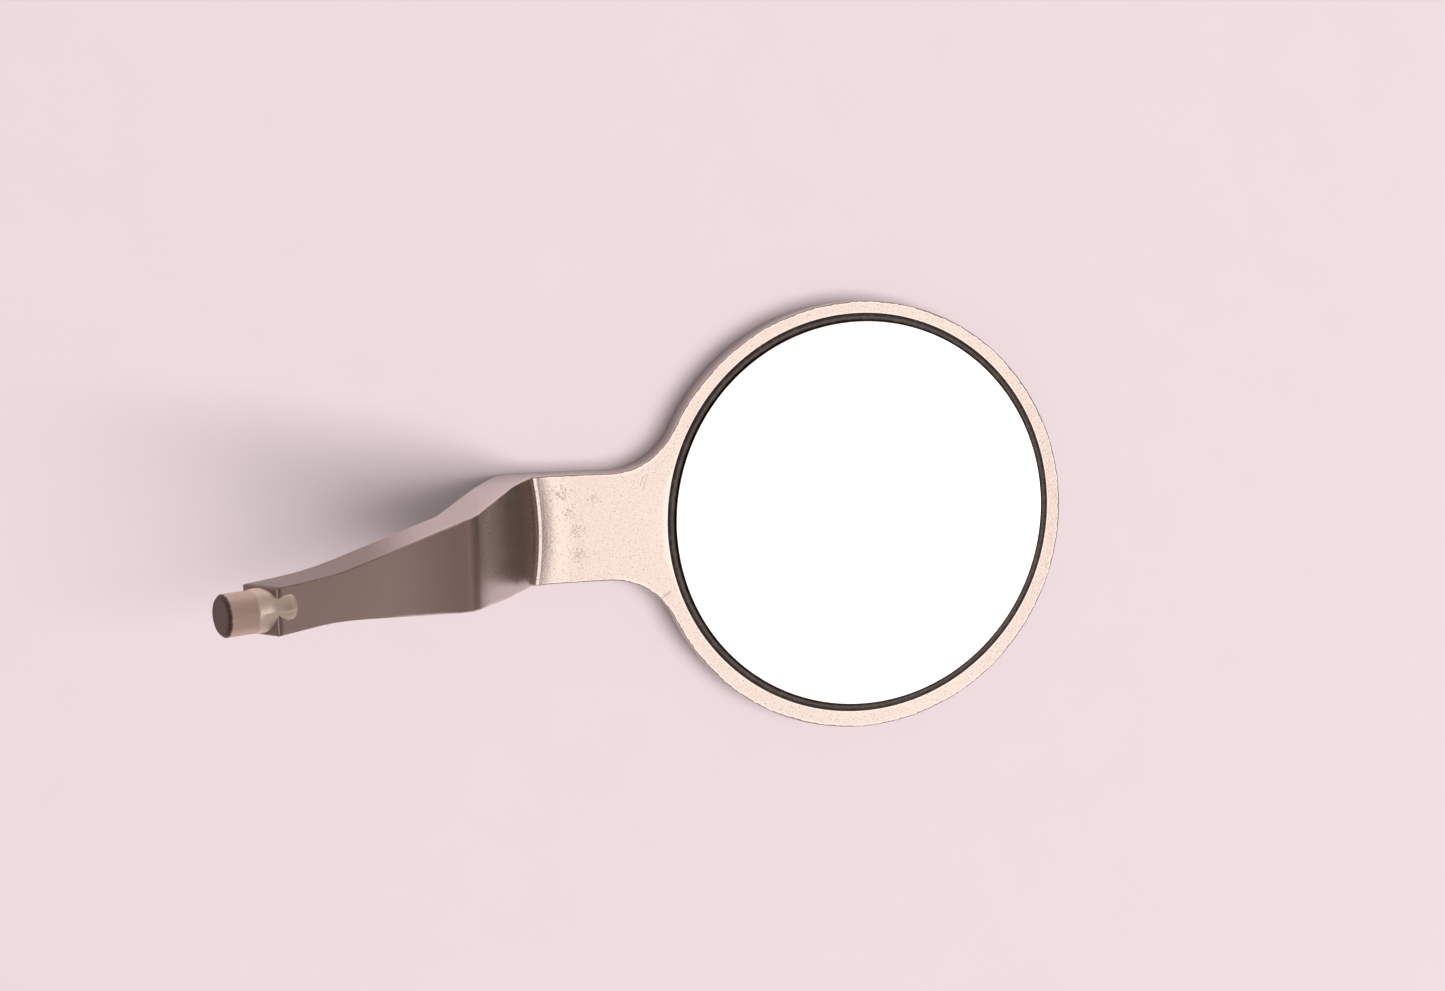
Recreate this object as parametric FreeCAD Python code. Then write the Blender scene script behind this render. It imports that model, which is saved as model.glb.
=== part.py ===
import FreeCAD, Part
import math
import os

# Mouth mirror head, in millimetres. The origin is under the middle of the mirror, on the flat back
# of the frame. +X runs from the arm to the far edge of the rim, +Z is the way the mirror faces.
# The frame is one steel strip: a round dish, a flat neck and a cranked arm that climbs behind it.

# Driving dimensions
rim_radius = 12.0            # outside of the round dish
rim_offset_y = -0.13         # the rim is ground this far off the middle of the pocket
plate_thickness = 1.9        # of the strip, everywhere
edge_round = 0.12            # broken edges of the strip

pocket_radius = 11.18
pocket_floor = 0.75          # steel left under the glass
glass_radius = 10.75
glass_proud = 0.16           # how far the mirror stands above the rim
bond_thickness = 0.16
coating_thickness = 0.03
seal_proud = 0.05

neck_half_width = 2.9
neck_fillet = 4.0            # plan radius between the neck and the rim

bend_x = -18.82              # where the neck's top face meets the steep stretch
bend_angle = 70.0            # slope of the steep stretch
bend_radius = 0.7            # on the inside of the first bend
knee_x = -22.24              # where the steep stretch meets the arm
arm_angle = 46.0             # slope of the arm
knee_radius = 2.4            # on the outside of the second bend
arm_end_x = -30.6            # top edge of the arm's square end

steep_half_width = 2.5       # half widths seen from above, at the stations below
steep_x = -21.2
knee_half_width = 2.18
knee_width_x = -23.6
tip_half_width = 0.97
tip_x = -29.0
side_blend = 2.5             # radius that joins the straight sides of the arm

tang_radius = 0.85
tang_angle = 28.0            # slope of the tang, shallower than the arm
tang_inside = 1.8            # length let into the arm's end, on the axis
tang_outside = 1.6           # length left standing out of the arm's end
tang_shoulder = 0.5          # outside the arm, where the full round starts
tang_inner_radius = 0.80     # the let-in end tapers to this, to wedge in its groove
tang_chamfer = 0.12
tang_nose = 0.6              # radius of the rounded inner end

braze_radius = 1.05
braze_collar = 0.42          # how far the braze runs out along the tang

blank_clearance = 3.0        # how far the cutting blanks pass the finished shape


def polar(angle, length=1.0):
    """A vector in the XZ plane that climbs towards -X at this slope in degrees."""
    slope = math.radians(angle)
    return FreeCAD.Vector(-length * math.cos(slope), 0, length * math.sin(slope))


def face_normal(angle):
    """The outward normal of the top face where the strip climbs at this slope."""
    slope = math.radians(angle)
    return FreeCAD.Vector(math.sin(slope), 0, math.cos(slope))


def rounded_path(corners):
    """Straight edges through the corners, with a tangent arc at each corner that has a radius."""
    edges = []
    start = corners[0][0]
    for index in range(1, len(corners) - 1):
        corner, radius = corners[index]
        back = (corners[index - 1][0] - corner).normalize()
        ahead = (corners[index + 1][0] - corner).normalize()
        half_turn = (math.pi - back.getAngle(ahead)) / 2
        tangent = radius * math.tan(half_turn)
        bisector = (back + ahead).normalize()
        middle = corner + bisector * (radius / math.cos(half_turn) - radius)
        arc_start = corner + back * tangent
        arc_end = corner + ahead * tangent
        edges.append(Part.LineSegment(start, arc_start).toShape())
        edges.append(Part.Arc(arc_start, middle, arc_end).toShape())
        start = arc_end
    edges.append(Part.LineSegment(start, corners[-1][0]).toShape())
    return edges


def strip_corners():
    """Top-face corners of the strip in the side view, and the same corners on its back face."""
    rim_end = FreeCAD.Vector(rim_radius + blank_clearance, 0, plate_thickness)
    bend = FreeCAD.Vector(bend_x, 0, plate_thickness)
    knee = bend + polar(bend_angle, (bend_x - knee_x) / math.cos(math.radians(bend_angle)))
    tip = knee + polar(arm_angle, (knee_x - arm_end_x) / math.cos(math.radians(arm_angle)))
    flat, steep, arm = face_normal(0), face_normal(bend_angle), face_normal(arm_angle)
    top = [rim_end, bend, knee, tip]
    back = [
        rim_end - flat * plate_thickness,
        bend - (flat + steep) * (plate_thickness / (1 + flat.dot(steep))),
        knee - (steep + arm) * (plate_thickness / (1 + steep.dot(arm))),
        tip - arm * plate_thickness,
    ]
    return top, back


def strip_side():
    """The strip's side view, carried across the full width."""
    top, back = strip_corners()
    edges = rounded_path([
        (top[0], 0), (top[1], bend_radius), (top[2], knee_radius), (top[3], 0),
    ])
    edges += rounded_path([
        (back[3], 0), (back[2], knee_radius - plate_thickness),
        (back[1], bend_radius + plate_thickness), (back[0], 0),
    ])
    edges.append(Part.LineSegment(top[3], back[3]).toShape())
    edges.append(Part.LineSegment(back[0], top[0]).toShape())
    outline = Part.Face(Part.Wire(Part.__sortEdges__(edges)))
    width = 2 * (rim_radius + blank_clearance)
    outline.translate(FreeCAD.Vector(0, -width / 2, 0))
    return outline.extrude(FreeCAD.Vector(0, width, 0))


def neck_to_rim(side):
    """The concave plan fillet on one side: its ends on the neck and on the rim, and its middle."""
    rim_centre = FreeCAD.Vector(0, rim_offset_y, 0)
    fillet_y = side * (neck_half_width + neck_fillet)
    reach = rim_radius + neck_fillet
    fillet_x = -math.sqrt(reach ** 2 - (fillet_y - rim_offset_y) ** 2)
    fillet_centre = FreeCAD.Vector(fillet_x, fillet_y, 0)
    to_rim = (rim_centre - fillet_centre).normalize()
    to_neck = FreeCAD.Vector(0, -side, 0)
    middle = (to_rim + to_neck).normalize()
    return (
        fillet_centre + to_neck * neck_fillet,
        fillet_centre + middle * neck_fillet,
        fillet_centre + to_rim * neck_fillet,
    )


def arm_side(side):
    """One side of the neck and arm in plan, from the rim fillet to past the arm's end."""
    return [
        (neck_to_rim(side)[0], 0),
        (FreeCAD.Vector(bend_x, side * neck_half_width, 0), side_blend),
        (FreeCAD.Vector(steep_x, side * steep_half_width, 0), side_blend),
        (FreeCAD.Vector(knee_width_x, side * knee_half_width, 0), side_blend),
        (FreeCAD.Vector(tip_x, side * tip_half_width, 0), side_blend),
        (FreeCAD.Vector(arm_end_x - blank_clearance, side * tip_half_width, 0), 0),
    ]


def strip_plan():
    """The strip's plan outline, carried up past the top of the arm."""
    edges = []
    for side in (1, -1):
        edges.append(Part.Arc(*neck_to_rim(side)).toShape())
        edges += rounded_path(arm_side(side))
    far_side = FreeCAD.Vector(rim_radius, rim_offset_y, 0)
    edges.append(Part.Arc(neck_to_rim(1)[2], far_side, neck_to_rim(-1)[2]).toShape())
    edges.append(Part.LineSegment(arm_side(1)[-1][0], arm_side(-1)[-1][0]).toShape())
    outline = Part.Face(Part.Wire(Part.__sortEdges__(edges)))
    arm_top = strip_corners()[0][3].z
    outline.translate(FreeCAD.Vector(0, 0, -blank_clearance))
    return outline.extrude(FreeCAD.Vector(0, 0, arm_top + 2 * blank_clearance))


def disc(radius, bottom, top):
    """A round plate on the mirror's axis."""
    return Part.makeCylinder(radius, top - bottom, FreeCAD.Vector(0, 0, bottom))


def tang_root():
    """The middle of the arm's square end, which the tang's axis passes through."""
    top, back = strip_corners()
    return (top[3] + back[3]) * 0.5


def tang():
    """The pin that carries the handle: tapered and round-nosed inside, chamfered outside."""
    axis = polar(tang_angle)
    start = tang_root() - axis * tang_inside
    taper_length = tang_inside + tang_shoulder
    taper = Part.makeCone(tang_inner_radius, tang_radius, taper_length, start, axis)
    shoulder = start + axis * taper_length
    shank = Part.makeCylinder(tang_radius, tang_outside - tang_shoulder, shoulder, axis)
    pin = taper.fuse(shank)
    ends = [edge for edge in pin.Edges if edge.Curve.TypeId == "Part::GeomCircle"]
    ends.sort(key=lambda edge: edge.Curve.Center.x)
    pin = pin.makeFillet(tang_nose, [ends[-1]])
    ends = [edge for edge in pin.Edges if edge.Curve.TypeId == "Part::GeomCircle"]
    ends.sort(key=lambda edge: edge.Curve.Center.x)
    return pin.makeChamfer(tang_chamfer, [ends[0]])


def braze(frame, pin):
    """The bead of silver alloy round the tang, widest where the tang leaves the arm."""
    axis = polar(tang_angle)
    start = tang_root() - axis * tang_inside
    stations = [
        (-0.08, 0.30),
        (0.30, 0.88),
        (tang_inside - 0.5, braze_radius),
        (tang_inside, braze_radius),
        (tang_inside + braze_collar, tang_radius + 0.02),
    ]
    corners = [FreeCAD.Vector(stations[0][0], 0, 0)]
    corners += [FreeCAD.Vector(along, radius, 0) for along, radius in stations]
    corners.append(FreeCAD.Vector(stations[-1][0], 0, 0))
    corners.append(corners[0])
    half_section = Part.Face(Part.makePolygon(corners))
    bead = half_section.revolve(FreeCAD.Vector(0, 0, 0), FreeCAD.Vector(1, 0, 0), 360)
    turn = FreeCAD.Rotation(FreeCAD.Vector(1, 0, 0), axis)
    bead.Placement = FreeCAD.Placement(start, turn)
    return bead.cut(frame).cut(pin)


def mirror_frame(pin):
    """The steel strip: edges broken, pocket bored for the glass, groove cut for the tang."""
    strip = strip_side().common(strip_plan()).Solids[0]
    strip = strip.makeFillet(edge_round, strip.Edges)
    pocket = disc(pocket_radius, pocket_floor, plate_thickness + blank_clearance)
    return strip.cut(pocket).cut(pin)


def edge_seal():
    """The ring of black sealant between the glass and the rim, with a rounded top."""
    top = plate_thickness + seal_proud
    ring = disc(pocket_radius, pocket_floor, top).cut(disc(glass_radius, pocket_floor, top))
    upper = [edge for edge in ring.Edges if edge.BoundBox.ZMin > top - 1e-6]
    return ring.makeFillet((pocket_radius - glass_radius) / 3, upper)


mirror_top = plate_thickness + glass_proud
glass_bottom = pocket_floor + bond_thickness
glass_top = mirror_top - coating_thickness

handle_tang = tang()
frame_body = mirror_frame(handle_tang)
nodes = {
    "mirror_frame": frame_body,
    "glass_bond": disc(glass_radius, pocket_floor, glass_bottom),
    "mirror_glass": disc(glass_radius, glass_bottom, glass_top),
    "mirror_coating": disc(glass_radius, glass_top, mirror_top),
    "edge_seal": edge_seal(),
    "handle_tang": handle_tang,
    "tang_braze": braze(frame_body, handle_tang),
}

os.makedirs("parts", exist_ok=True)
for name, shape in nodes.items():
    assert shape.isValid(), name
    assert len(shape.Solids) == 1, (name, len(shape.Solids))
    shape.Solids[0].exportStep("parts/" + name + ".step")
    box = shape.BoundBox
    print(name, round(shape.Volume, 2), "mm3, X", round(box.XMin, 2), round(box.XMax, 2),
          "Y", round(box.YMin, 2), round(box.YMax, 2), "Z", round(box.ZMin, 2), round(box.ZMax, 2))
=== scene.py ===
"""The head of a dental mouth mirror: a round front-surface mirror in a cranked steel frame.

Sizes in the sections below are millimetres in the frame's own axes: the origin is under the
middle of the mirror on the flat back, +X runs away from the arm, +Z is the way the mirror faces.
"""

import math

import bmesh
import bpy
import numpy as np
from mathutils import Matrix, Vector


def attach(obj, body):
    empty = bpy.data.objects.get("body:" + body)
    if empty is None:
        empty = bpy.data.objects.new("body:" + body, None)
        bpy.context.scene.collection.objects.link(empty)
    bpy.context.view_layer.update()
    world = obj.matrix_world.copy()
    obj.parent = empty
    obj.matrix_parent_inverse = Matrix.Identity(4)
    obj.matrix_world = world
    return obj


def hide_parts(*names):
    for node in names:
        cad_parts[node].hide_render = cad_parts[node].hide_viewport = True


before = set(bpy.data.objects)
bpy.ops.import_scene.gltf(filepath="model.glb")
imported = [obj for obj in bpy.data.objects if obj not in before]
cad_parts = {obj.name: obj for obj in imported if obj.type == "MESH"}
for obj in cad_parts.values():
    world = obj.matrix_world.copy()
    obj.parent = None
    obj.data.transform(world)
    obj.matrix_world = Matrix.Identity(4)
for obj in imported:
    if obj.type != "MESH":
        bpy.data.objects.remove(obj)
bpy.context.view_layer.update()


# The frame is one strip of stainless steel 1.9 mm thick: a round dish for the mirror, a flat
# neck, and an arm cranked up behind it in two bends. It is stamped, pressed to shape over a
# sharp-nosed tool, bead blasted to a satin finish, and its edges are tumbled smooth.

MM = 0.001
PLATE = 1.9
RIM_RADIUS = 12.0
RIM_SHIFT = -0.13            # the rim is ground this far off the pocket's middle
POCKET_RADIUS = 11.18
POCKET_FLOOR = 0.75
NECK_HALF = 2.9
NECK_FILLET = 4.0
JOIN_X = -14.8               # where the dish's mesh hands over to the neck's
EDGE = 0.12                  # radius of the broken edges
TOP_EDGE = EDGE * 0.75       # the top edges are a little sharper
SOFT_START, SOFT_RUN = 0.3, 1.2    # an edge keeps its plain radius this far from the join, then wanders
ARRIS = 0.04                 # round the pocket's mouth


def arc_points(centre, radius, first, last, count):
    """Points on a circle from one angle to another: centre + radius * (cos, sin)."""
    angle = np.linspace(first, last, count)
    return centre + radius * np.stack([np.cos(angle), np.sin(angle)], -1), angle


def dish_outline():
    """Plan outline of the dish from the neck's +Y edge round to its -Y edge, and its normals.

    A short straight, a concave arc tangent to the neck and the rim, the rim's circle, and the
    same again mirrored. Normals point out of the steel.
    """
    points, normals = [], []
    rim = np.array([0.0, RIM_SHIFT])
    turn = []
    for side in (1, -1):
        centre_y = side * (NECK_HALF + NECK_FILLET)
        reach = RIM_RADIUS + NECK_FILLET
        centre = np.array([-math.sqrt(reach ** 2 - (centre_y - RIM_SHIFT) ** 2), centre_y])
        towards = rim - centre
        meet = math.atan2(towards[1], towards[0])
        arc, angle = arc_points(centre, NECK_FILLET, -side * math.pi / 2, meet, 40)
        straight_x = np.linspace(JOIN_X, centre[0], 5)[:-1]
        straight = np.stack([straight_x, np.full_like(straight_x, side * NECK_HALF)], -1)
        points.append(np.concatenate([straight, arc]))
        outward = -np.stack([np.cos(angle), np.sin(angle)], -1)
        normals.append(np.concatenate([np.tile([0.0, side], (4, 1)), outward]))
        turn.append(meet + side * math.pi)
    arc, angle = arc_points(rim, RIM_RADIUS, turn[0], turn[1], 640)
    outward = np.stack([np.cos(angle), np.sin(angle)], -1)
    points = np.concatenate([points[0], arc[1:-1], points[1][::-1]])
    normals = np.concatenate([normals[0], outward[1:-1], normals[1][::-1]])
    return points, normals


def edge_profile(upper, lower, height):
    """Side of the plate: rows of (inset from the outline, height) from the top face down.

    A quarter circle of the upper radius, a straight wall with a guard row at each end, and a
    quarter circle of the lower radius. The radii may be arrays, one value for each column.
    """
    quarter = np.linspace(0, math.pi / 2, 7)[:, None]
    upper, lower, height = np.broadcast_arrays(*np.atleast_1d(upper, lower, height))
    top_inset = upper * (1 - np.sin(quarter))
    top_height = height - upper * (1 - np.cos(quarter))
    low_inset = lower * (1 - np.cos(quarter))
    low_height = lower * (1 - np.sin(quarter))
    share = np.array([0.04, 0.35, 0.65, 0.96])[:, None]
    wall_height = (height - upper) * (1 - share) + lower * share
    inset = np.concatenate([top_inset, np.zeros_like(wall_height), low_inset])
    return inset, np.concatenate([top_height, wall_height, low_height])


def wander(along, seed, waves):
    """A smooth random line: a sum of sines with seeded phases, one for each (length, size)."""
    phase = np.random.default_rng(seed).uniform(0, 2 * math.pi, len(waves))
    total = np.zeros_like(along)
    for (length, size), start in zip(waves, phase):
        total = total + size * np.sin(2 * math.pi * along / length + start)
    return total


def sheet_mesh(name, sheets, marks=None):
    """One closed mesh from grids of points in millimetres, each grid's cells its quads.

    Points that coincide are merged, which closes seams and poles, and the faces are then
    turned outwards. marks holds, for each attribute's name, one grid of numbers for each sheet.
    """
    corners, quads, start = [], [], 0
    for sheet in sheets:
        rows, columns = sheet.shape[:2]
        ids = start + np.arange(rows * columns).reshape(rows, columns)
        cells = np.stack([ids[:-1, :-1], ids[1:, :-1], ids[1:, 1:], ids[:-1, 1:]], -1)
        corners.append(sheet.reshape(-1, 3))
        quads.append(cells.reshape(-1, 4))
        start += rows * columns
    mesh = bpy.data.meshes.new(name)
    mesh.from_pydata((np.concatenate(corners) * MM).tolist(), [], np.concatenate(quads).tolist())
    for mark, grids in (marks or {}).items():
        values = np.concatenate([grid.reshape(-1) for grid in grids])
        mesh.attributes.new(mark, "FLOAT", "POINT").data.foreach_set("value", values.astype(np.float32))
    shape = bmesh.new()
    shape.from_mesh(mesh)
    bmesh.ops.remove_doubles(shape, verts=shape.verts, dist=2e-6)
    bmesh.ops.recalc_face_normals(shape, faces=shape.faces)
    shape.to_mesh(mesh)
    shape.free()
    mesh.polygons.foreach_set("use_smooth", np.ones(len(mesh.polygons), bool))
    piece = bpy.data.objects.new(name, mesh)
    bpy.context.scene.collection.objects.link(piece)
    return piece


def between(first, last, shares):
    """Rows that run straight from one row of points to another, at these shares of the way."""
    share = np.asarray(shares)[:, None, None]
    return first[None] * (1 - share) + last[None] * share


def lifted(plan, height):
    """A row of plan points at one height."""
    return np.concatenate([plan, np.broadcast_to(height, plan.shape[:-1])[..., None]], -1)


def pocket_rows(angle):
    """The pocket from its middle out: floor, wall and a small arris, along rays at these angles."""
    ray = np.stack([np.cos(angle), np.sin(angle)], -1)
    quarter = np.linspace(0, math.pi / 2, 5)
    radius = [0, 4, 8, 10.8, POCKET_RADIUS - 0.04, POCKET_RADIUS]
    height = [POCKET_FLOOR] * len(radius)
    radius += [POCKET_RADIUS] * 3
    height += [POCKET_FLOOR + 0.04, 1.3, PLATE - ARRIS - 0.03]
    radius += list(POCKET_RADIUS + ARRIS * (1 - np.cos(quarter)))
    height += list(PLATE - ARRIS * (1 - np.sin(quarter)))
    rows = np.array(radius)[:, None, None] * ray[None]
    return lifted(rows, np.array(height)[:, None])


def unmarked(sheet):
    """A grid of zeros, for a sheet that an attribute leaves alone."""
    return np.zeros(sheet.shape[:2])


FACE_SHARES = [0, 0.02, 0.1, 0.25, 0.4, 0.55, 0.7, 0.83, 0.93, 0.985, 1]
BACK_SHARES = [0, 0.02, 0.2, 0.5, 0.8, 1]

# the dish, open towards the neck
outline, outward = dish_outline()
step = np.linalg.norm(np.diff(outline, axis=0), axis=1)
along = np.concatenate([[0], np.cumsum(step)])
from_join = np.minimum(along, along[-1] - along)
settle = np.clip((from_join - SOFT_START) / SOFT_RUN, 0, 1)
nicks = wander(along, 11, [(7.3, 0.014), (2.9, 0.012), (1.1, 0.012), (0.52, 0.011), (0.37, 0.011)])
upper_edge = TOP_EDGE + settle * nicks
lower_edge = np.full_like(upper_edge, EDGE)
inset, height = edge_profile(upper_edge, lower_edge, PLATE)
wall = lifted(outline[None] - outward[None] * inset[..., None], height)
top_line, low_line = wall[0], wall[-1]
pocket = pocket_rows(np.arctan2(top_line[:, 1], top_line[:, 0]))
face = between(pocket[-1], top_line, FACE_SHARES)
back = between(low_line, lifted(np.zeros_like(outline), 0.0), BACK_SHARES)
dish = np.concatenate([pocket, face[1:], wall[1:], back[1:]])
dish_wear = unmarked(dish)
first_wall = len(pocket) + len(face) - 1
dish_wear[first_wall - 3] = 0.35
dish_wear[first_wall - 2:first_wall + 6] = 1
dish_wear[len(pocket) - 3:len(pocket) + 1] = 1

# the same rays carried across the neck's opening
NECK_COLUMNS = 30
join_edge = NECK_HALF - TOP_EDGE
neck_shares = np.concatenate([[0, 0.012], np.linspace(0.035, 0.965, NECK_COLUMNS - 3), [0.988, 1]])
neck_y = join_edge * (1 - 2 * neck_shares)
top_neck = np.stack([np.full_like(neck_y, JOIN_X), neck_y, np.full_like(neck_y, PLATE)], -1)
low_y = (NECK_HALF - EDGE) * (1 - 2 * neck_shares)
low_neck = np.stack([np.full_like(low_y, JOIN_X), low_y, np.zeros_like(low_y)], -1)
neck_pocket = pocket_rows(np.arctan2(neck_y, JOIN_X))
neck_face = between(neck_pocket[-1], top_neck, FACE_SHARES)
neck_back = between(low_neck, np.zeros_like(low_neck), BACK_SHARES)
neck_sheet = np.concatenate([neck_pocket, neck_face[1:]])
neck_wear = unmarked(neck_sheet)
neck_wear[len(neck_pocket) - 3:len(neck_pocket) + 1] = 1

# the neck and arm, as closed cross-sections carried along two side-view lines; each bend is given
# by where its corner is on the top line and by the slope of the steel beyond it
BEND_X, BEND_ANGLE = -18.6, math.radians(68.8)
KNEE_X, ARM_ANGLE = -22.24, math.radians(46)
ARM_END_X = -30.6
BEND_RADIUS, KNEE_RADIUS = 0.35, 3.6


def side_line(corners, radii, counts):
    """A side-view line through corners with a tangent arc at each inner one, evenly stepped.

    counts gives the steps of each straight and each arc in turn, so two lines made with the
    same counts can be joined station by station.
    """
    corners = np.array(corners, float)
    pieces, start = [], corners[0]
    for index, radius in enumerate(radii, 1):
        back = corners[index - 1] - corners[index]
        ahead = corners[index + 1] - corners[index]
        back, ahead = back / np.linalg.norm(back), ahead / np.linalg.norm(ahead)
        half = math.acos(np.clip(back @ ahead, -1, 1)) / 2
        run = radius / math.tan(half)
        bisector = (back + ahead) / np.linalg.norm(back + ahead)
        centre = corners[index] + bisector * radius / math.sin(half)
        arc_start, arc_end = corners[index] + back * run, corners[index] + ahead * run
        share = np.linspace(0, 1, counts[2 * index - 2] + 1)[:-1, None]
        pieces.append(start * (1 - share) + arc_start * share)
        first = math.atan2(*(arc_start - centre)[::-1])
        sweep = math.atan2(*(arc_end - centre)[::-1]) - first
        sweep = (sweep + math.pi) % (2 * math.pi) - math.pi
        pieces.append(arc_points(centre, radius, first, first + sweep, counts[2 * index - 1] + 1)[0][:-1])
        start = arc_end
    share = np.linspace(0, 1, counts[-1] + 1)[:, None]
    pieces.append(start * (1 - share) + corners[-1] * share)
    return np.concatenate(pieces)


STEPS = [80, 18, 50, 40, 80]   # of the neck, the bend, the steep part, the knee and the arm
bend = np.array([BEND_X, PLATE])
knee = bend + (BEND_X - KNEE_X) * np.array([-1, math.tan(BEND_ANGLE)])
tip = knee + (KNEE_X - ARM_END_X) * np.array([-1, math.tan(ARM_ANGLE)])
flat_up = np.array([0.0, 1.0])
steep_up = np.array([math.sin(BEND_ANGLE), math.cos(BEND_ANGLE)])
arm_up = np.array([math.sin(ARM_ANGLE), math.cos(ARM_ANGLE)])
low_bend = bend - (flat_up + steep_up) * PLATE / (1 + flat_up @ steep_up)
low_knee = knee - (steep_up + arm_up) * PLATE / (1 + steep_up @ arm_up)
low_tip = tip - arm_up * PLATE
top_side = side_line([(JOIN_X, PLATE), bend, knee, tip], [BEND_RADIUS, KNEE_RADIUS], STEPS)
low_radii = [BEND_RADIUS + PLATE, KNEE_RADIUS - PLATE]
low_side = side_line([(JOIN_X, 0.0), low_bend, low_knee, low_tip], low_radii, STEPS)

# the square end: the last stations close in round a quarter circle
round_off = np.linspace(0, math.pi / 2, 6)[1:]
arm_way = np.array([-math.cos(ARM_ANGLE), math.sin(ARM_ANGLE)])
keep = np.linalg.norm(top_side - tip, axis=1) > EDGE * 1.5
top_side, low_side = top_side[keep], low_side[keep]
closing = np.concatenate([np.zeros(len(top_side)), EDGE * (1 - np.cos(round_off))])
end_run = -EDGE * (1 - np.sin(round_off))
end_top = tip + end_run[:, None] * arm_way
end_low = low_tip + end_run[:, None] * arm_way
top_side = np.concatenate([top_side, end_top])
low_side = np.concatenate([low_side, end_low])

# half width seen from above: straight lines between stations, smoothed with a bell curve
WIDTH_X = [ARM_END_X - 3, -29.0, -23.4, -22.3, -21.2, -19.8, JOIN_X]
WIDTH_Y = [0.97, 0.97, 2.15, 2.36, 2.74, NECK_HALF, NECK_HALF]
SMOOTHING = 100                # steps each side of the middle, of the 900 that the line is cut into
middle_x = (top_side[:, 0] + low_side[:, 0]) / 2
fine_x = np.linspace(WIDTH_X[0], WIDTH_X[-1], 900)
fine_y = np.interp(fine_x, WIDTH_X, WIDTH_Y)
blend = np.exp(-0.5 * (np.linspace(-3, 3, 2 * SMOOTHING + 1)) ** 2)
fine_y = np.convolve(np.pad(fine_y, SMOOTHING, mode="edge"), blend / blend.sum(), mode="valid")
half_width = np.interp(middle_x, fine_x, fine_y) - closing

thickness_way = top_side - low_side
thickness = np.linalg.norm(thickness_way, axis=1)
thickness_way = thickness_way / thickness[:, None]
run = np.concatenate([[0], np.cumsum(np.linalg.norm(np.diff(top_side, axis=0), axis=1))])
from_start = np.clip((run - SOFT_START) / SOFT_RUN, 0, 1)


def arm_sections():
    """Closed cross-sections: top face, -Y side, bottom face, +Y side, back to the start.

    A point at width y and height h above the lower line is low + thickness way * h, at that y.
    Sides come from the edge profile with the half width as their outline. Returns the sections,
    a grid that marks their edges, one that marks their sides, and the height's share of the plate.
    """
    ahead = np.minimum(1, closing / EDGE * 4)
    edges = []
    for seed in (21, 22):
        upper = TOP_EDGE + from_start * wander(run, seed, [(6.1, 0.014), (2.3, 0.012), (0.9, 0.008)])
        upper = upper * (1 - ahead) + 0.02 * ahead
        lower = EDGE * (1 - ahead) + 0.02 * ahead
        edges.append((upper, lower))
    reach = thickness - closing
    rows = []
    for side, (upper, lower) in zip((1, -1), edges):
        inset, height = edge_profile(upper, lower, reach - closing)
        rows.append((side * (half_width[None] - inset), height + closing[None]))
    plus, minus = rows
    share = neck_shares[:, None]
    top_y = plus[0][0] * (1 - share) + minus[0][0] * share
    top_h = np.broadcast_to(reach, top_y.shape)
    low_y = plus[0][-1] * (1 - share) + minus[0][-1] * share
    low_h = np.broadcast_to(closing, low_y.shape)
    y = np.concatenate([top_y, minus[0][1:-1], low_y[::-1], plus[0][1:-1][::-1], top_y[:1]])
    h = np.concatenate([top_h, minus[1][1:-1], low_h[::-1], plus[1][1:-1][::-1], top_h[:1]])
    x = low_side[None, :, 0] + thickness_way[None, :, 0] * h
    z = low_side[None, :, 1] + thickness_way[None, :, 1] * h
    wear, side = np.zeros(y.shape), np.zeros(y.shape)
    count = len(neck_shares)
    sides = len(minus[0]) - 2
    wear[0], wear[count - 1:count + 6] = 1, 1
    wear[2 * count + sides * 2 - 6:] = 1
    side[count:count + sides], side[2 * count + sides:-1] = 1, 1
    return np.stack([x, y, z], -1).transpose(1, 0, 2), wear.T, side.T, (h / thickness).T


sections, arm_wear, arm_side, level = arm_sections()

# the press tool's mark: across the inside of the first bend the steel is pushed up in a low
# ramp with a narrow land behind it, bowed towards the dish in the middle of the width
LAND_START = BEND_X + BEND_RADIUS * math.tan(BEND_ANGLE / 2)
LAND_WIDTH, RAMP_LENGTH, RAMP_HEIGHT = 0.05, 2.0, 0.27
BOW, BOW_REACH = 0.26, 1.1
upper_part = np.clip((level - 0.75) / 0.2, 0, 1)
across = sections[:, :, 1] / NECK_HALF
near_bend = np.exp(-0.5 * (np.linalg.norm(top_side - bend, axis=1)[:, None] / BOW_REACH) ** 2)
bow = BOW * np.clip(1 - across ** 2, 0, 1) * near_bend
gap = sections[:, :, 0] - LAND_START
ramp = np.clip(1 - (gap - LAND_WIDTH) / RAMP_LENGTH, 0, 1) ** 2
ramp = ramp * np.clip((gap + 1.2) / 0.7, 0, 1)
sections[:, :, 2] += RAMP_HEIGHT * ramp * upper_part
sections[:, :, 0] += bow * upper_part

end_loop = sections[-1]
end_middle = np.broadcast_to(end_loop.mean(0), end_loop.shape)
cap = between(end_loop, end_middle, [0, 0.5, 1])

mirror_frame = sheet_mesh(
    "satin_frame",
    [dish, neck_sheet, neck_back, sections, cap],
    {
        "wear": [dish_wear, neck_wear, unmarked(neck_back), arm_wear, unmarked(cap)],
        "side": [unmarked(dish), unmarked(neck_sheet), unmarked(neck_back), arm_side, unmarked(cap)],
    },
)


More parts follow.
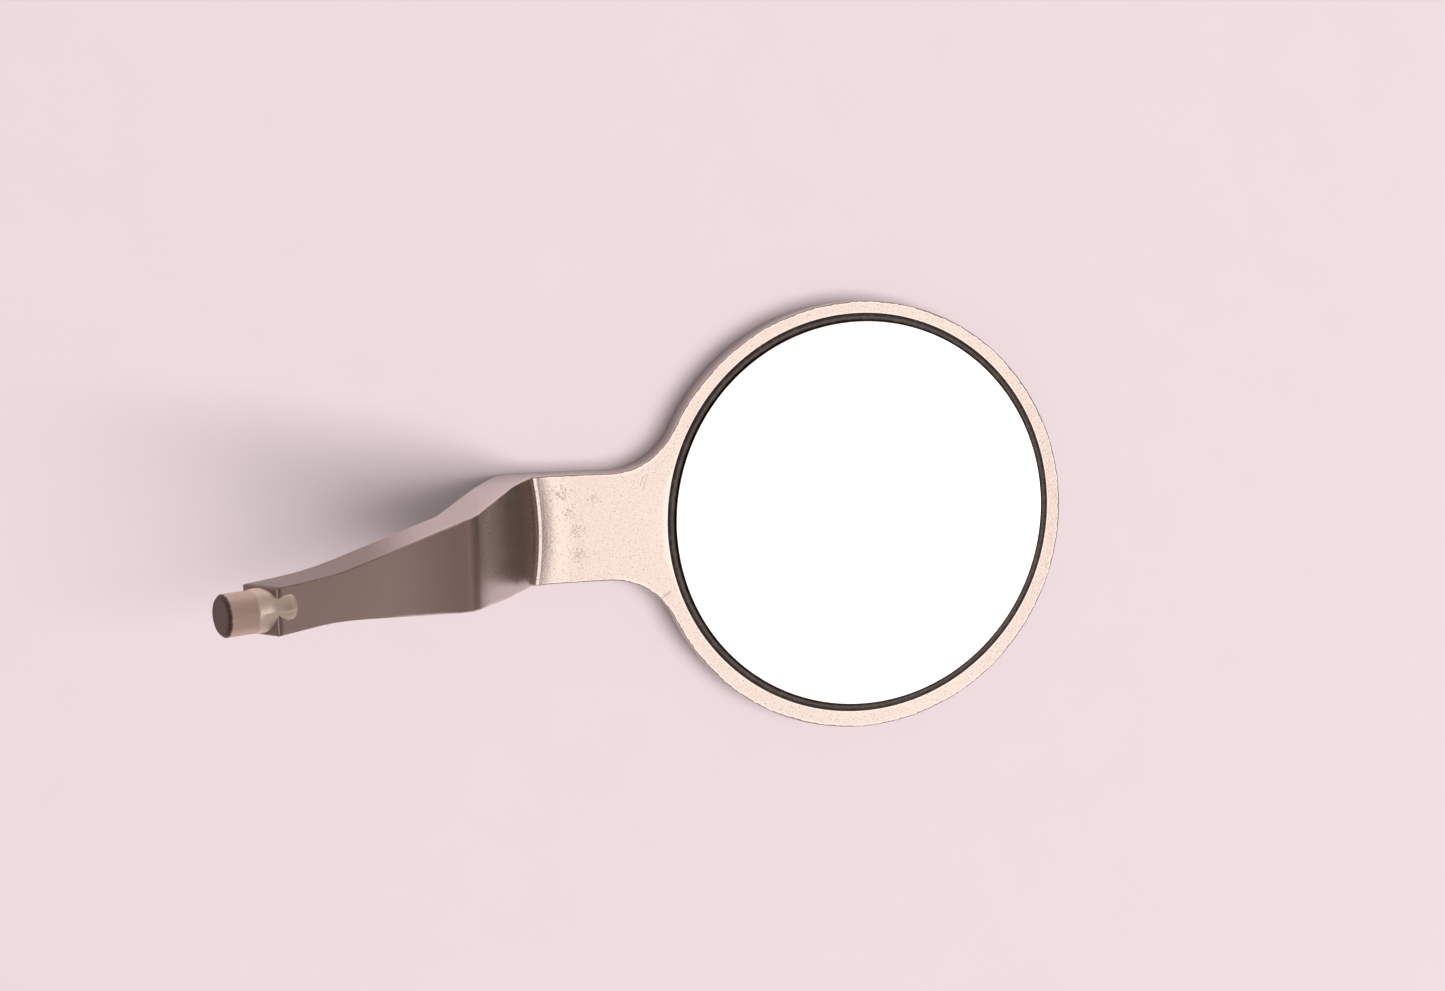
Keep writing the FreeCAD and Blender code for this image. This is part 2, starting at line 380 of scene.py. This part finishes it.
class Wire:
    """A socket of a material that can be used in sums, each adding the Math node it stands for."""

    def __init__(self, tree, socket=None):
        self.tree = tree
        self.socket = socket

    def node(self, kind, settings=None, inputs=None, output=0):
        """Adds a node, sets its settings and then its sockets, and returns one output, if it has any."""
        made = self.tree.nodes.new(kind)
        for key, value in (settings or {}).items():
            setattr(made, key, value)
        for key, value in (inputs or {}).items():
            if isinstance(value, Wire):
                self.tree.links.new(value.socket, made.inputs[key])
            else:
                made.inputs[key].default_value = value
        return None if output is None else Wire(self.tree, made.outputs[output])

    def maths(self, operation, first, second=0.0):
        """A Math node on two values or sockets."""
        return self.node("ShaderNodeMath", {"operation": operation}, {0: first, 1: second})

    def __add__(self, other):
        return self.maths("ADD", self, other)

    def __sub__(self, other):
        return self.maths("SUBTRACT", self, other)

    def __mul__(self, other):
        return self.maths("MULTIPLY", self, other)

    def __rsub__(self, other):
        return self.maths("SUBTRACT", other, self)

    def __abs__(self):
        return self.maths("ABSOLUTE", self)

    __radd__ = __add__
    __rmul__ = __mul__

    def step(self, low, high):
        """0 below low, 1 above high, and an S-curve between: the smoothstep formula."""
        return self.node(
            "ShaderNodeMapRange", {"interpolation_type": "SMOOTHSTEP"},
            {"Value": self, "From Min": low, "From Max": high},
        )

    def noise(self, place, size, detail=2.0, roughness=0.5):
        """Fractal noise with grains of this size in metres, about 0 to 1."""
        return self.node(
            "ShaderNodeTexNoise", None,
            {"Vector": place, "Scale": 1 / size, "Detail": detail, "Roughness": roughness},
        )

    def tint(self, factor, first, second):
        """A mix of two colours."""
        return self.node(
            "ShaderNodeMix", {"data_type": "RGBA"}, {0: factor, 6: first, 7: second}, output=2,
        )

    def bump(self, height, strength, depth):
        """A normal tilted by the slope of a height, this many metres deep."""
        return self.node(
            "ShaderNodeBump", None, {"Strength": strength, "Distance": depth, "Height": height},
        )

    def along(self, place, start, way):
        """How far a place is from a point in metres, measured along a direction: (place - start) . way."""
        offset = self.node("ShaderNodeVectorMath", {"operation": "SUBTRACT"}, {0: place, 1: start})
        return self.node(
            "ShaderNodeVectorMath", {"operation": "DOT_PRODUCT"}, {0: offset, 1: way}, output=1,
        )

    def away(self, place, point=(0, 0, 0)):
        """How far a place is from a point, in metres."""
        return self.node("ShaderNodeVectorMath", {"operation": "DISTANCE"}, {0: place, 1: point}, output=1)


def new_finish(name):
    """An empty node material and its first wire."""
    finish = bpy.data.materials.new(name)
    finish.use_nodes = True
    finish.node_tree.nodes.clear()
    return finish, Wire(finish.node_tree)


def put_on(piece, finish, wire, shader):
    """Ends the material with its output node and gives it to the piece."""
    wire.node("ShaderNodeOutputMaterial", None, {0: shader}, output=None)
    piece.data.materials.clear()
    piece.data.materials.append(finish)


def scratch(x, y, start, end, half_width):
    """1 along a straight mark between two points in millimetres, fading to 0 at its edges.

    With run the distance along the mark and aside the distance across it, it is
    step(aside) * step(|run - length / 2|).
    """
    start, end = np.array(start) * MM, np.array(end) * MM
    length = float(np.linalg.norm(end - start))
    way_x, way_y = ((end - start) / length).tolist()
    left_x, left_y = x - float(start[0]), y - float(start[1])
    run_on = left_x * way_x + left_y * way_y
    aside = abs(left_y * way_x - left_x * way_y)
    ends = abs(run_on - length / 2)
    return aside.step(half_width * MM, half_width * 0.3 * MM) * ends.step(length * 0.55, length * 0.4)


STEEL_DARK, STEEL_LIGHT = (0.49, 0.425, 0.395, 1), (0.66, 0.585, 0.55, 1)
# colour of the painted shade past the second bend
KNEE_SHADE_PAINT = (0.33, 0.27, 0.25, 1)
# colour of the painted shade on the sides and the end near the tip
TIP_SHADE_PAINT = (0.24, 0.185, 0.165, 1)
PIT_SPOTS = (                # x, y, radius of each place where the neck is pitted
    (-16.9, 2.0, 0.7), (-16.5, 0.9, 0.6), (-16.1, -0.1, 0.6), (-16.1, -1.3, 0.7), (-15.2, 1.6, 0.5),
)
SCRATCHES = (                # from, to, half width
    ((-12.55, 1.9), (-12.25, 2.8), 0.03),
    ((-12.7, 2.1), (-12.5, 2.7), 0.025),
    ((-11.64, -4.05), (-11.08, -3.65), 0.09),
)

steel, wire = new_finish("satin_steel")
place = wire.node("ShaderNodeTexCoord", output=3)
wear = wire.node("ShaderNodeAttribute", {"attribute_name": "wear"}, output=2)
side_wall = wire.node("ShaderNodeAttribute", {"attribute_name": "side"}, output=2)
x = wire.node("ShaderNodeSeparateXYZ", None, {0: place}, output=0)
y = wire.node("ShaderNodeSeparateXYZ", None, {0: place}, output=1)
z = wire.node("ShaderNodeSeparateXYZ", None, {0: place}, output=2)
grain = wire.noise(place, 0.00012, 3.0, 0.7)
mottle = wire.noise(place, 0.0016, 2.0)
speck = wire.noise(place, 0.00007, 1.0)
dots = wire.noise(place, 0.00009, 2.0, 0.7)

# pits and scratches on the top of the neck
on_top = z.step(1.6 * MM, 1.8 * MM) * z.step(3.4 * MM, 2.6 * MM)
pitted = 0
for spot_x, spot_y, size in PIT_SPOTS:
    pitted = pitted + wire.away(place, (spot_x * MM, spot_y * MM, PLATE * MM)).step(size * MM, 0.0)
pits = (dots + pitted * 0.12).step(0.60, 0.76) * on_top
marks = 0
for start, end, half_width in SCRATCHES:
    marks = marks + scratch(x, y, start, end, half_width)
marks = marks * on_top

# painted shade: the sides near the tip are darker, standing for the shaded card they reflect, and a dark
# line is painted round the arm's end beside the bead; and a patch past the second bend is painted darker,
# because plain steel shows too bright there under this stage's lights, which says nothing about the real
# steel
to_end = wire.along(place, (tip[0] * MM, 0, tip[1] * MM), (arm_way[0], 0, arm_way[1]))
painted_tip_shade = x.step(-24.4 * MM, -27.4 * MM) * side_wall * 0.75
painted_tip_shade = painted_tip_shade + to_end.step(-0.3 * MM, -0.12 * MM) * (1 - painted_tip_shade) * 0.85
# painted shade on the arm past the second bend
painted_knee_shade = x.step(-21.5 * MM, -22.1 * MM) * x.step(-26.5 * MM, -22.8 * MM) * (1 - side_wall) * 0.8

shade = (grain - 0.5) * 0.75 + (mottle - 0.5) * 0.16 + wear * 0.5 - pits * 0.4 - marks * 0.5
colour = wire.tint(shade + 0.42, STEEL_DARK, STEEL_LIGHT)
colour = wire.tint(painted_knee_shade, colour, KNEE_SHADE_PAINT)
# painted shade near the tip
colour = wire.tint(painted_tip_shade, colour, TIP_SHADE_PAINT)
roughness = 0.24 + (speck - 0.5) * 0.12 - wear * 0.04 + pits * 0.15 + marks * 0.08 + painted_tip_shade * 0.12
roughness = roughness + x.step(-21.0 * MM, -22.4 * MM) * 0.1
bump = wire.bump(grain - pits * 0.7 - marks * 0.35, 0.3, 0.00002)
shader = wire.node(
    "ShaderNodeBsdfPrincipled", None,
    {"Base Color": colour, "Metallic": 1.0, "Roughness": roughness, "Normal": bump},
)
put_on(mirror_frame, steel, wire, shader)
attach(mirror_frame, "root")
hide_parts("mirror_frame")


# A thin bed of clear two-part resin holds the glass down on the pocket's floor. It is hidden
# under the mirror, so the CAD disc stays as it is with a cured-resin finish.

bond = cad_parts["glass_bond"]
resin, wire = new_finish("cured_resin")
place = wire.node("ShaderNodeTexCoord", output=3)
haze = wire.noise(place, 0.0012, 2.0)
shader = wire.node(
    "ShaderNodeBsdfPrincipled", None,
    {
        "Base Color": wire.tint(haze, (0.70, 0.64, 0.48, 1), (0.76, 0.70, 0.55, 1)),
        "Roughness": 0.2 + haze * 0.1,
    },
)
put_on(bond, resin, wire, shader)


# The glass is a polished disc 21.5 mm across, ground flat, with a fine arris round both edges
# so that it does not chip. It stands a little proud of the steel.

GLASS_RADIUS = 10.75
GLASS_LOW, GLASS_HIGH = 0.91, 2.03
GLASS_ARRIS = 0.02


def turned(profile, count):
    """A shape turned about the Z axis: each (radius, height) of the profile goes round a circle."""
    profile = np.array(profile, float)
    angle = np.linspace(0, 2 * math.pi, count + 1)
    x = profile[:, :1] * np.cos(angle)
    y = profile[:, :1] * np.sin(angle)
    return np.stack([x, y, np.broadcast_to(profile[:, 1:], x.shape)], -1)


glass_profile = [
    (0, GLASS_LOW), (5, GLASS_LOW), (GLASS_RADIUS - GLASS_ARRIS - 0.05, GLASS_LOW),
    (GLASS_RADIUS - GLASS_ARRIS, GLASS_LOW), (GLASS_RADIUS, GLASS_LOW + GLASS_ARRIS),
    (GLASS_RADIUS, GLASS_LOW + 0.06), (GLASS_RADIUS, GLASS_HIGH - 0.03),
    (GLASS_RADIUS, GLASS_HIGH - 0.002), (GLASS_RADIUS - 0.004, GLASS_HIGH),
    (GLASS_RADIUS - 0.05, GLASS_HIGH), (5, GLASS_HIGH), (0, GLASS_HIGH),
]
glass = sheet_mesh("mirror_glass_disc", [turned(glass_profile, 360)])
clear, wire = new_finish("polished_glass")
place = wire.node("ShaderNodeTexCoord", output=3)
ripple = wire.noise(place, 0.004, 1.0)
shader = wire.node(
    "ShaderNodeBsdfPrincipled", None,
    {
        "Base Color": (0.86, 0.92, 0.90, 1), "Roughness": 0.02 + ripple * 0.02,
        "Transmission Weight": 1.0, "IOR": 1.52,
    },
)
put_on(glass, clear, wire, shader)
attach(glass, "root")
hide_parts("mirror_glass")


# The reflecting film is hard metal evaporated on the front of the glass, so that the image is
# not doubled. It is far thinner than it is drawn, and covers the face to the arris.

FILM_TOP = 2.06
film_profile = [
    (0, GLASS_HIGH), (5, GLASS_HIGH), (GLASS_RADIUS - 0.06, GLASS_HIGH),
    (GLASS_RADIUS - 0.004, GLASS_HIGH), (GLASS_RADIUS, GLASS_HIGH + 0.004),
    (GLASS_RADIUS, FILM_TOP - 0.012), (GLASS_RADIUS - 0.004, FILM_TOP - 0.004),
    (GLASS_RADIUS - 0.012, FILM_TOP), (GLASS_RADIUS - 0.05, FILM_TOP), (5, FILM_TOP), (0, FILM_TOP),
]
film = sheet_mesh("mirror_film", [turned(film_profile, 360)])
silvered, wire = new_finish("front_surface_film")
place = wire.node("ShaderNodeTexCoord", output=3)
wipe = wire.noise(place, 0.006, 3.0)
shader = wire.node(
    "ShaderNodeBsdfPrincipled", None,
    {
        "Base Color": wire.tint(wipe, (0.955, 0.950, 0.950, 1), (0.975, 0.972, 0.972, 1)),
        "Metallic": 1.0, "Roughness": wipe.step(0.62, 0.8) * 0.02 + 0.015,
    },
)
put_on(film, silvered, wire, shader)
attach(film, "root")
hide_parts("mirror_coating")


# The seal is black epoxy run into the gap between the glass and the pocket's wall. It cured
# with a rounded, slightly uneven top, and a thin grey line is painted along its crest as the highlight it
# catches.

SEAL_TOP, SEAL_SIDE = 1.95, 1.80       # the crown, and where it meets the glass
SEAL_LAP = 0.035                       # how far it laps on to the steel
SEAL_BLACK, SEAL_GREY = (0.012, 0.009, 0.008, 1), (0.07, 0.058, 0.053, 1)
SEAL_WAVES = (                         # waves in a turn, height, phase
    (3, 0.010, 0.4), (7, 0.008, 1.9), (19, 0.006, 4.0), (43, 0.005, 2.2), (97, 0.004, 0.7),
)

# the section is half an ellipse over a straight-sided channel; the waves lift the half ellipse
angle = np.linspace(0, 2 * math.pi, 721)
lift = np.zeros_like(angle)
for waves, size, phase in SEAL_WAVES:
    lift = lift + size * np.sin(waves * angle + phase)
across_seal = np.linspace(0, 1, 11)
crown = np.sqrt(np.clip(1 - (2 * across_seal - 1) ** 2, 0, 1))
top_radius = GLASS_RADIUS + (POCKET_RADIUS + SEAL_LAP - GLASS_RADIUS) * across_seal
top_height = SEAL_SIDE + (SEAL_TOP - SEAL_SIDE) * crown[:, None] + lift[None] * crown[:, None]
low_radius = [POCKET_RADIUS, POCKET_RADIUS, GLASS_RADIUS, GLASS_RADIUS]
low_height = np.array([SEAL_SIDE - 0.02, POCKET_FLOOR, POCKET_FLOOR, SEAL_SIDE])
ring_radius = np.concatenate([top_radius, low_radius])[:, None]
ring_height = np.concatenate([top_height, low_height[:, None] + 0 * lift[None]])
ring = np.stack([ring_radius * np.cos(angle), ring_radius * np.sin(angle), ring_height], -1)
seal = sheet_mesh("black_edge_seal", [ring])
epoxy, wire = new_finish("black_epoxy")
place = wire.node("ShaderNodeTexCoord", output=3)
dust = wire.noise(place, 0.0003, 3.0)
SEAL_MIDDLE = 11.13                    # from the origin to the middle of the seal's top
# painted highlight: a grey ring along the middle of the seal's top
middle = abs(wire.away(place) - SEAL_MIDDLE * MM).step(0.14 * MM, 0.06 * MM)
# the base colour takes the grey dust specks and the painted crest highlight
shader = wire.node(
    "ShaderNodeBsdfPrincipled", None,
    {
        "Base Color": wire.tint(dust.step(0.4, 0.75) * 0.6 + middle * 0.4, SEAL_BLACK, SEAL_GREY),
        "Roughness": 0.38 + (dust - 0.5) * 0.2,
        "Normal": wire.bump(dust, 0.2, 0.00004),
    },
)
put_on(seal, epoxy, wire, shader)
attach(seal, "root")
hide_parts("edge_seal")


# The tang is a turned steel pin let into a groove in the arm's end at a shallower slope than
# the arm. The handle's socket is pressed over its free end.

TANG_ANGLE = math.radians(28)
TANG_RADIUS, TANG_INNER = 0.85, 0.80
TANG_IN, TANG_OUT, TANG_SHOULDER = 1.35, 1.6, 0.5    # lengths inward and outward from the root
NOSE, CHAMFER = 0.6, 0.12
SCALE_COLOUR = (0.12, 0.08, 0.07, 1)                 # oxide left on the cut end
tang_way = np.array([-math.cos(TANG_ANGLE), 0, math.sin(TANG_ANGLE)])
tang_up = np.array([math.sin(TANG_ANGLE), 0, math.cos(TANG_ANGLE)])
tang_root = np.array([(tip[0] + low_tip[0]) / 2, 0, (tip[1] + low_tip[1]) / 2])


def along_tang(shape):
    """A shape turned about Z laid along the tang: its Z runs out of the arm from the root."""
    x, y, z = shape[..., :1], shape[..., 1:2], shape[..., 2:]
    return tang_root + x * tang_up + y * np.array([0, 1, 0]) + z * tang_way


nose = np.linspace(0, math.pi / 2, 9)
tang_profile = [(0, -TANG_IN)]
tang_profile += [(TANG_INNER - NOSE * (1 - math.sin(a)), -TANG_IN + NOSE * (1 - math.cos(a))) for a in nose]
tang_profile += [
    (TANG_RADIUS, TANG_SHOULDER), (TANG_RADIUS, TANG_OUT - CHAMFER - 0.05),
    (TANG_RADIUS, TANG_OUT - CHAMFER - 0.01), (TANG_RADIUS - 0.012, TANG_OUT - CHAMFER + 0.012),
    (TANG_RADIUS - CHAMFER + 0.012, TANG_OUT - 0.012), (TANG_RADIUS - CHAMFER - 0.01, TANG_OUT),
    (TANG_RADIUS - CHAMFER - 0.05, TANG_OUT), (0.3, TANG_OUT), (0, TANG_OUT),
]
tang = sheet_mesh("handle_tang_pin", [along_tang(turned(tang_profile, 96))])
turned_steel, wire = new_finish("turned_steel")
place = wire.node("ShaderNodeTexCoord", output=3)
fine = wire.noise(place, 0.00018, 3.0)
down_tang = wire.along(place, (tang_root * MM).tolist(), tang_way.tolist())
scale = (down_tang + (fine - 0.5) * 0.0001).step(1.42 * MM, 1.52 * MM)
colour = wire.tint(fine, (0.62, 0.50, 0.43, 1), (0.71, 0.58, 0.50, 1))
shader = wire.node(
    "ShaderNodeBsdfPrincipled", None,
    {
        "Base Color": wire.tint(scale, colour, SCALE_COLOUR),
        "Metallic": 1.0, "Roughness": 0.5 + (fine - 0.5) * 0.1,
    },
)
put_on(tang, turned_steel, wire, shader)
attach(tang, "root")
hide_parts("handle_tang")


# Silver brazing alloy holds the tang in its groove. It has flowed into a thin, slightly uneven
# bead round the nose and the root, yellower than the steel.

RIDGE_HEIGHT, RIDGE_AT, RIDGE_SPREAD = 0.17, 0.35, 0.55      # share of the radius, radians

# radius and distance along the tang; a ridge runs along the bead's upper side
bead_profile = [
    (0, -1.42), (0.15, -1.42), (0.34, -1.39), (0.54, -1.31), (0.70, -1.18), (0.79, -1.02), (0.83, -0.86),
    (0.86, -0.68), (0.87, -0.48), (0.875, -0.28), (0.88, -0.08), (0.885, 0.05), (0.885, 0.14), (0.88, 0.24),
    (0.875, 0.33), (0.862, 0.40), (0.80, 0.42), (0, 0.42),
]
bead = turned(bead_profile, 96)
turn = np.linspace(0, 2 * math.pi, 97)
station = np.array(bead_profile)[:, 1]
lump = 1 + 0.01 * np.sin(3 * turn + 0.7) + 0.008 * np.sin(7 * turn + 2.0)
ridge = np.exp(-0.5 * ((turn - RIDGE_AT) / RIDGE_SPREAD) ** 2)
ridge = ridge * np.clip((station[:, None] + 1.42) / 0.4, 0, 1)
ridge = ridge * np.clip((0.3 - station[:, None]) / 0.35, 0, 1)
bead[:, :, :2] *= (np.minimum(lump, 1.01)[None] + RIDGE_HEIGHT * ridge)[:, :, None]
bead[:, -1] = bead[:, 0]
braze = sheet_mesh("silver_braze_bead", [along_tang(bead)])
alloy, wire = new_finish("silver_alloy")
place = wire.node("ShaderNodeTexCoord", output=3)
flow = wire.noise(place, 0.0005, 3.0)
shader = wire.node(
    "ShaderNodeBsdfPrincipled", None,
    {
        "Base Color": wire.tint(flow, (0.70, 0.61, 0.51, 1), (0.82, 0.73, 0.62, 1)),
        "Metallic": 1.0, "Roughness": 0.46 + flow * 0.1,
        "Normal": wire.bump(flow, 0.25, 0.00004),
    },
)
put_on(braze, alloy, wire, shader)
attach(braze, "root")
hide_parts("tang_braze")


# The head lies on its back on a sheet of pale pink card that fades into the backdrop, under one
# large soft light that is overhead and towards the mirror's side. Card and metal have lights of
# their own, and only metal reflects the two dark flags on the mirror's side.


def sheet_of(name, corners):
    """A flat four-cornered sheet, in metres."""
    sheet = bpy.data.objects.new(name, bpy.data.meshes.new(name))
    sheet.data.from_pydata(corners, [], [(0, 1, 2, 3)])
    bpy.context.scene.collection.objects.link(sheet)
    return sheet


BACKDROP = (0.86, 0.73, 0.75, 1)
CARD_HALF = 1.5
card_corners = [
    (-CARD_HALF, -CARD_HALF, 0), (CARD_HALF, -CARD_HALF, 0),
    (CARD_HALF, CARD_HALF, 0), (-CARD_HALF, CARD_HALF, 0),
]
card = sheet_of("pale_card", card_corners)
paper, wire = new_finish("pale_paper")
place = wire.node("ShaderNodeTexCoord", output=3)
fibre = wire.noise(place, 0.004, 3.0)
shader = wire.node(
    "ShaderNodeBsdfPrincipled", None,
    {
        "Base Color": wire.tint(fibre, (0.80, 0.777, 0.844, 1), (0.82, 0.797, 0.864, 1)),
        "Roughness": 0.9, "Specular IOR Level": 0.1,
    },
)
far = wire.away(place).step(0.12, 0.9)
lit_far = wire.node("ShaderNodeEmission", None, {"Color": BACKDROP, "Strength": 1.0})
shader = wire.node("ShaderNodeMixShader", None, {0: far, 1: shader, 2: lit_far})
put_on(card, paper, wire, shader)


def soft_light(name, direction, size, power, colour, seen_by):
    """A rectangular light in a direction from the object, turned to face it.

    It is seen by "diffuse" or by "glossy" surfaces only, so card and metal are lit separately.
    """
    lamp = bpy.data.lights.new(name, "AREA")
    lamp.shape = "RECTANGLE"
    lamp.size, lamp.size_y = size
    lamp.energy = power
    lamp.color = colour
    light = bpy.data.objects.new(name, lamp)
    bpy.context.scene.collection.objects.link(light)
    way = Vector(direction).normalized()
    aside = Vector((0, 1, 0)).cross(way).normalized()
    turned_to = Matrix((aside, way.cross(aside), way)).transposed().to_4x4()
    light.matrix_world = Matrix.Translation(way * LIGHT_DISTANCE) @ turned_to
    light.visible_camera = False
    light.visible_diffuse = seen_by == "diffuse"
    light.visible_glossy = seen_by == "glossy"


LIGHT_DISTANCE = 1.2
soft_light("key_on_card", (0.27, -0.10, 0.96), (0.80, 0.66), 12.95, (1, 0.855, 0.81), "diffuse")
soft_light("key_on_metal", (0.262, -0.13, 0.96), (0.73, 0.80), 2.6, (1, 0.94, 0.88), "glossy")
soft_light("edge_on_metal", (0.50, -0.13, 0.96), (0.20, 0.80), 0.2, (1, 0.95, 0.92), "glossy")


def flag(name, corners, colour):
    """A flat card of one brightness, fading out at its ends, that only shiny surfaces see."""
    panel = sheet_of(name, corners)
    felt, wire = new_finish(name)
    place = wire.node("ShaderNodeTexCoord", output=3)
    y = wire.node("ShaderNodeSeparateXYZ", None, {0: place}, output=1)
    z = wire.node("ShaderNodeSeparateXYZ", None, {0: place}, output=2)
    half, low, high = corners[1][1], corners[0][2], corners[2][2]
    solid = abs(y).step(half, half * 0.25) * z.step(high, high - (high - low) * 0.3)
    clear = wire.node("ShaderNodeBsdfTransparent")
    shader = wire.node("ShaderNodeEmission", None, {"Color": colour, "Strength": 1.0})
    shader = wire.node("ShaderNodeMixShader", None, {0: solid, 1: clear, 2: shader})
    put_on(panel, felt, wire, shader)
    panel.visible_camera = False
    panel.visible_diffuse = False
    panel.visible_shadow = False


low_corners = [(0.05, -0.2, 0), (0.05, 0.2, 0), (0.05, 0.2, 0.04), (0.05, -0.2, 0.04)]
flag("low_flag", low_corners, (0.33, 0.24, 0.215, 1))
high_corners = [(1.15, -0.6, 0.33), (1.15, 0.6, 0.33), (0.64, 0.6, 1.0), (0.64, -0.6, 1.0)]
flag("high_flag", high_corners, (0.08, 0.062, 0.057, 1))

# the room has one colour in view, another in what metal reflects and a third for the light it gives
world = bpy.data.worlds.new("room")
world.use_nodes = True
bpy.context.scene.world = world
sky = Wire(world.node_tree)
world.node_tree.nodes.clear()
camera_ray = sky.node("ShaderNodeLightPath", output="Is Camera Ray")
glossy_ray = sky.node("ShaderNodeLightPath", output="Is Glossy Ray")
around = sky.tint(glossy_ray, (0.30, 0.257, 0.243, 1), (0.46, 0.385, 0.375, 1))
around = sky.tint(camera_ray, around, BACKDROP)
backdrop = sky.node("ShaderNodeBackground", None, {"Color": around, "Strength": 1.0})
sky.node("ShaderNodeOutputWorld", None, {0: backdrop}, output=None)

lens = bpy.data.cameras.new("view")
lens.lens = 36.125
lens.sensor_width = 36
lens.clip_start = 0.005
lens.clip_end = 20
camera = bpy.data.objects.new("view", lens)
right = Vector((0.9677, -0.0108, 0.2521)).normalized()
behind = Vector((-0.2488, 0.1257, 0.9604))
behind = (behind - right * behind.dot(right)).normalized()
up = behind.cross(right)
turned_to = Matrix((right, up, behind)).transposed().to_4x4()
camera.matrix_world = Matrix.Translation((-0.02772, 0.01134, 0.07748)) @ turned_to
bpy.context.scene.collection.objects.link(camera)
bpy.context.scene.camera = camera
bpy.context.scene.view_settings.view_transform = "Standard"
